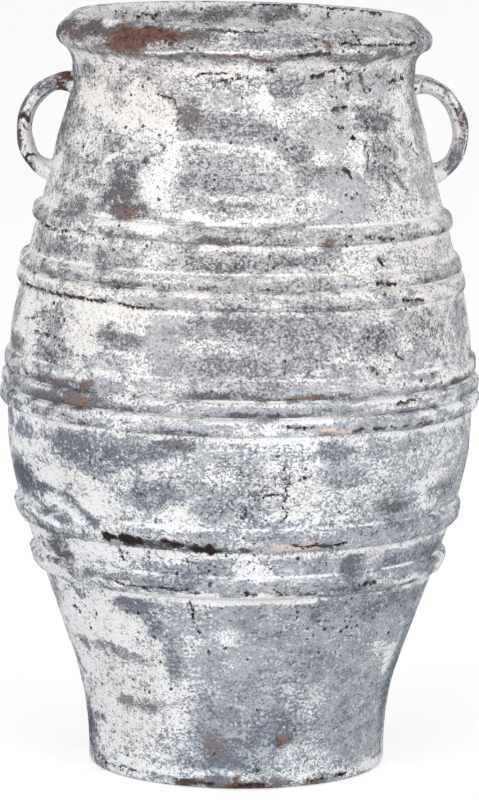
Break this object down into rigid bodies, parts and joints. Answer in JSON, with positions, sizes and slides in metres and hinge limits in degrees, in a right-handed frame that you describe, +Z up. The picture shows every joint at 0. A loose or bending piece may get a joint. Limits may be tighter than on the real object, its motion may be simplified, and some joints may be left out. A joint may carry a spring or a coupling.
{
  "type": "handled jar",
  "caption": "Tall weathered earthenware storage jar with a flaring foot, raised cordons, an overhanging rim and strap handles at the shoulder.",
  "frame": {"origin": "middle of the flat underside, where the jar's axis meets the floor", "axes": "+Z up along the jar's axis; the handles stand at +X and -X; -Y is the front seen in the picture"},
  "size_m": [0.4838, 0.4838, 0.762],
  "materials": {
    "wall_clay": "matt terracotta under a worn slate-grey coat and brushed whitewash",
    "cordon_clay": "matt, whitewash on the upper side, worn to dark clay below",
    "rim_clay": "matt, worn grey-brown with bare terracotta patches",
    "handle_clay": "matt, mottled white over dark brown clay",
    "slab_clay": "matt bare clay, worn at the edge"
  },
  "bodies": {
    "root": {"base_slab": "slab_clay", "foot_ring": "wall_clay", "flare_ring": "wall_clay", "waist_ring": "wall_clay", "lower_belly_ring": "wall_clay", "upper_belly_ring": "wall_clay", "collar_ring": "wall_clay", "shoulder_ring": "wall_clay", "rim_collar": "rim_clay", "shoulder_cordon": "cordon_clay", "upper_cordon_top": "cordon_clay", "upper_cordon_bottom": "cordon_clay", "belly_ridge_top": "cordon_clay", "belly_ridge_middle": "cordon_clay", "belly_ridge_bottom": "cordon_clay", "waist_bead_top": "cordon_clay", "waist_bead_bottom": "cordon_clay", "right_handle": "handle_clay", "left_handle": "handle_clay"}
  },
  "joints": []
}
